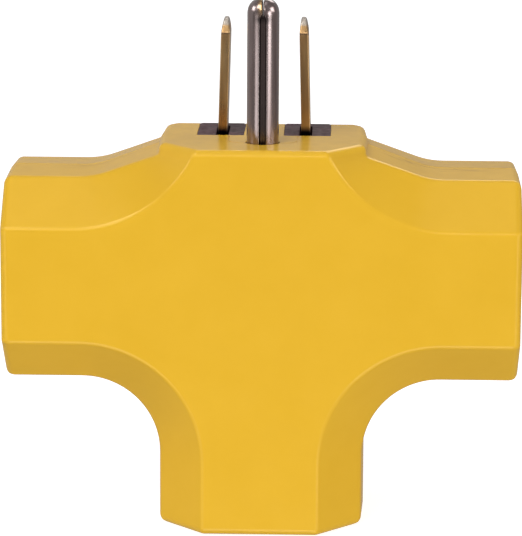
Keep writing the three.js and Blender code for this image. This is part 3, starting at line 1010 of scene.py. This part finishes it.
def rolled_nickel():
    """Nickel plate on rolled strip: grey with a purple-brown cast, streaked along the pin, with
    painted shade inside its seam, at the pinch and in the slit, the brass below showing at the
    folded end."""
    m = Nodes("rolled_nickel")
    plate = m.ramp(m.noise(700, 5, 0.7, stretch=(1, 1, 0.05)), [
        (0.3, (0.215, 0.145, 0.137)),
        (0.5, (0.305, 0.233, 0.223)),
        (0.72, (0.42, 0.35, 0.345)),
    ])
    height = m.axis("Z")
    across = m.axis("X")
    aside = m.math("ABSOLUTE", across)

    def fade(source, low, high, near, far):
        return m.spread(source, low, high, start=near * MM, end=far * MM)

    end = fade(height, 0.0, 1.0, PIN_TOP - PIN_END_FADE[0], PIN_TOP - PIN_END_FADE[1])
    worn = m.product(
        end,
        fade(across, 0.0, 1.0, *PIN_WEAR_LEFT),
        fade(across, 1.0, 0.0, 0.0, PIN_WEAR_RIGHT),
    )
    folded = m.mix(worn, plate, (0.44, 0.27, 0.11))
    # Painted shade inside the open seam, where the pin's hollow shows.
    open_part = fade(height, 1.0, 0.0, PIN_TOP - PIN_GROOVE_TOP, PIN_TOP - PIN_GROOVE_CLOSE)
    groove = m.product(fade(m.distance(PIN_Y), 1.0, 0.0, *PIN_INSIDE_RADIUS), open_part)
    seam_shaded = m.mix(groove, folded, (0.12, 0.085, 0.078))
    # Painted shade at the pinch, where the end is folded in.
    pinch = m.product(
        m.band(height, PIN_TOP - PIN_PINCH, PIN_PINCH_HALF),
        fade(aside, 0.95, 0.0, *PIN_PINCH_SPREAD),
    )
    pinch_shaded = m.mix(pinch, seam_shaded, (0.02, 0.012, 0.01))
    # Painted shade in the slit between the folded lobes.
    slit = m.product(fade(aside, 1.0, 0.0, *PIN_SLIT_SPREAD), end)
    slit_shaded = m.mix(slit, pinch_shaded, (0.06, 0.035, 0.02))
    m.surface(slit_shaded, m.spread(m.noise(800, 3, 0.6, stretch=(1, 1, 0.1)), 0.16, 0.30))
    m.set("Metallic", 1.0)
    m.set("Coat Weight", 0.7)
    m.set("Coat Roughness", 0.15)
    m.bump([(m.noise(1200, 3, 0.5, stretch=(1, 1, 0.05)), 0.25, 0.02)])
    return m.material


def contact_brass():
    """Clean brass of the bus bars, clips and rivets."""
    m = Nodes("contact_brass")
    cloud = m.noise(300, 4, 0.6)
    colour = m.ramp(cloud, [(0.3, (0.50, 0.33, 0.12)), (0.7, (0.70, 0.50, 0.22))])
    m.surface(colour, m.spread(m.noise(900, 3, 0.6), 0.28, 0.45))
    m.set("Metallic", 1.0)
    m.bump([(m.noise(1500, 3, 0.5), 0.2, 0.02)])
    return m.material


def set_material(obj, material):
    obj.data.materials.clear()
    obj.data.materials.append(material)


# --- Stage ----------------------------------------------------------------------------------------

VIEW_AZIMUTH = math.radians(1.50)
VIEW_ELEVATION = math.radians(12.01)
VIEW_ROLL = math.radians(-0.316)
VIEW_DISTANCE = 458.5
VIEW_TARGET = (-0.34, 0, -20.87)
VIEW_LENS = 205.8
SENSOR_WIDTH = 36


def add_camera():
    back = Vector((
        math.sin(VIEW_AZIMUTH) * math.cos(VIEW_ELEVATION),
        -math.cos(VIEW_AZIMUTH) * math.cos(VIEW_ELEVATION),
        math.sin(VIEW_ELEVATION),
    ))
    right = Vector((0, 0, 1)).cross(back).normalized()
    up = back.cross(right)
    turned_right = right * math.cos(VIEW_ROLL) - up * math.sin(VIEW_ROLL)
    turned_up = up * math.cos(VIEW_ROLL) + right * math.sin(VIEW_ROLL)
    rotation = Matrix((turned_right, turned_up, back)).transposed().to_4x4()
    camera = bpy.data.cameras.new("camera")
    camera.sensor_fit = "HORIZONTAL"
    camera.sensor_width = SENSOR_WIDTH
    camera.lens = VIEW_LENS
    camera.clip_start = 0.01
    obj = bpy.data.objects.new("camera", camera)
    place = Matrix.Translation((Vector(VIEW_TARGET) + back * VIEW_DISTANCE) * MM)
    obj.matrix_world = place @ rotation
    bpy.context.scene.collection.objects.link(obj)
    bpy.context.scene.camera = obj


def area_light(name, azimuth, elevation, distance, size, power):
    """A soft box aimed at the body's middle, placed by its direction from there. Its angles are in
    degrees, its distance and size in metres and its power in watts."""
    a, e = math.radians(azimuth), math.radians(elevation)
    away = Vector((math.sin(a) * math.cos(e), -math.cos(a) * math.cos(e), math.sin(e)))
    light = bpy.data.lights.new(name, "AREA")
    light.shape = "RECTANGLE"
    light.size, light.size_y = size
    light.energy = power
    obj = bpy.data.objects.new(name, light)
    obj.location = Vector(VIEW_TARGET) * MM + away * distance
    obj.rotation_euler = away.to_track_quat("Z", "Y").to_euler()
    bpy.context.scene.collection.objects.link(obj)


FLOOR_HALF_SIZE = 4
FLOOR_GAP = 0.05


def add_floor():
    """A pale floor just below the part. Only the camera sees it, so that it stays plain and throws
    no glare on the part. Its half size is in metres."""
    bm = bmesh.new()
    bmesh.ops.create_grid(bm, x_segments=1, y_segments=1, size=FLOOR_HALF_SIZE)
    floor = new_object("floor", bm)
    floor.location.z = CAD_BOUNDS[0][2] - FLOOR_GAP * MM
    floor.visible_diffuse = False
    floor.visible_glossy = False
    floor.visible_shadow = False
    m = Nodes("floor")
    m.set("Base Color", (0.5, 0.5, 0.5, 1))
    m.set("Roughness", 0.9)
    m.set("Specular IOR Level", 0.0)
    m.set("Emission Color", (1, 1, 1, 1))
    m.set("Emission Strength", 0.8)
    set_material(floor, m.material)


def add_world():
    """A dim room, lighter towards the back left."""
    world = bpy.data.worlds.new("studio")
    bpy.context.scene.world = world
    world.use_nodes = True
    tree = world.node_tree
    background = tree.nodes["Background"]
    background.inputs["Color"].default_value = (1, 0.97, 0.96, 1)
    towards = tree.nodes.new("ShaderNodeVectorMath")
    towards.operation = "DOT_PRODUCT"
    tree.links.new(tree.nodes.new("ShaderNodeTexCoord").outputs["Generated"], towards.inputs[0])
    towards.inputs[1].default_value = (-0.7, 0.7, 0)
    gradient = tree.nodes.new("ShaderNodeMapRange")
    set_range(gradient, 0.5, 0.8, 0.29, 0.43)
    tree.links.new(towards.outputs["Value"], gradient.inputs["Value"])
    tree.links.new(gradient.outputs["Result"], background.inputs["Strength"])


def add_stage():
    add_camera()
    add_world()
    add_floor()
    area_light("left_box", -46, -17, 0.8, (0.32, 0.4), 0.6)
    area_light("right_box", 48, -11, 1.2, (0.45, 0.6), 1.7)
    area_light("right_spot", 46, 5, 1.2, (0.3, 0.3), 1.4)
    area_light("upper_left_box", -38, 50, 0.8, (0.4, 0.4), 2.5)
    area_light("front_box", -8, 32, 1.2, (0.7, 0.2), 2.2)
    area_light("side_left_box", -82, 26, 1.2, (0.5, 0.45), 2.6)
    area_light("side_right_box", 74, 22, 1.2, (0.5, 0.45), 3.4)
    area_light("top_box", 0, 85, 1.2, (0.8, 0.8), 1.2)
    area_light("low_box", 0, -45, 0.5, (0.5, 0.3), 1.2)
    area_light("back_box", 165, 38, 1.3, (0.8, 0.5), 2.6)
    bpy.context.scene.view_settings.view_transform = "Standard"


# --- Assembly -------------------------------------------------------------------------------------

def main():
    add_stage()
    yellow = yellow_vinyl()
    finished = [(cover, node, yellow, "cover_yellow") for node, cover in build_covers().items()]
    finished.append((build_insert(), "plug_insert", dark_moulding(), "insert_dark"))
    brass = tarnished_brass()
    for node, side in (("line_blade", -1), ("neutral_blade", 1)):
        finished.append((build_blade(node, side), node, brass, "blade_brass"))
    finished.append((build_pin(), "ground_pin", rolled_nickel(), "pin_nickel"))
    for piece, node, material, slot in finished:
        set_material(piece, material)
        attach(piece, "root")
        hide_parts(node)
    inner_materials = {"contact_brass": contact_brass(), "carrier_black": black_moulding()}
    for part in frame["record"]["subparts"]:
        if part["material_slot"] in inner_materials:
            set_material(frame["nodes"][part["node"]], inner_materials[part["material_slot"]])


main()
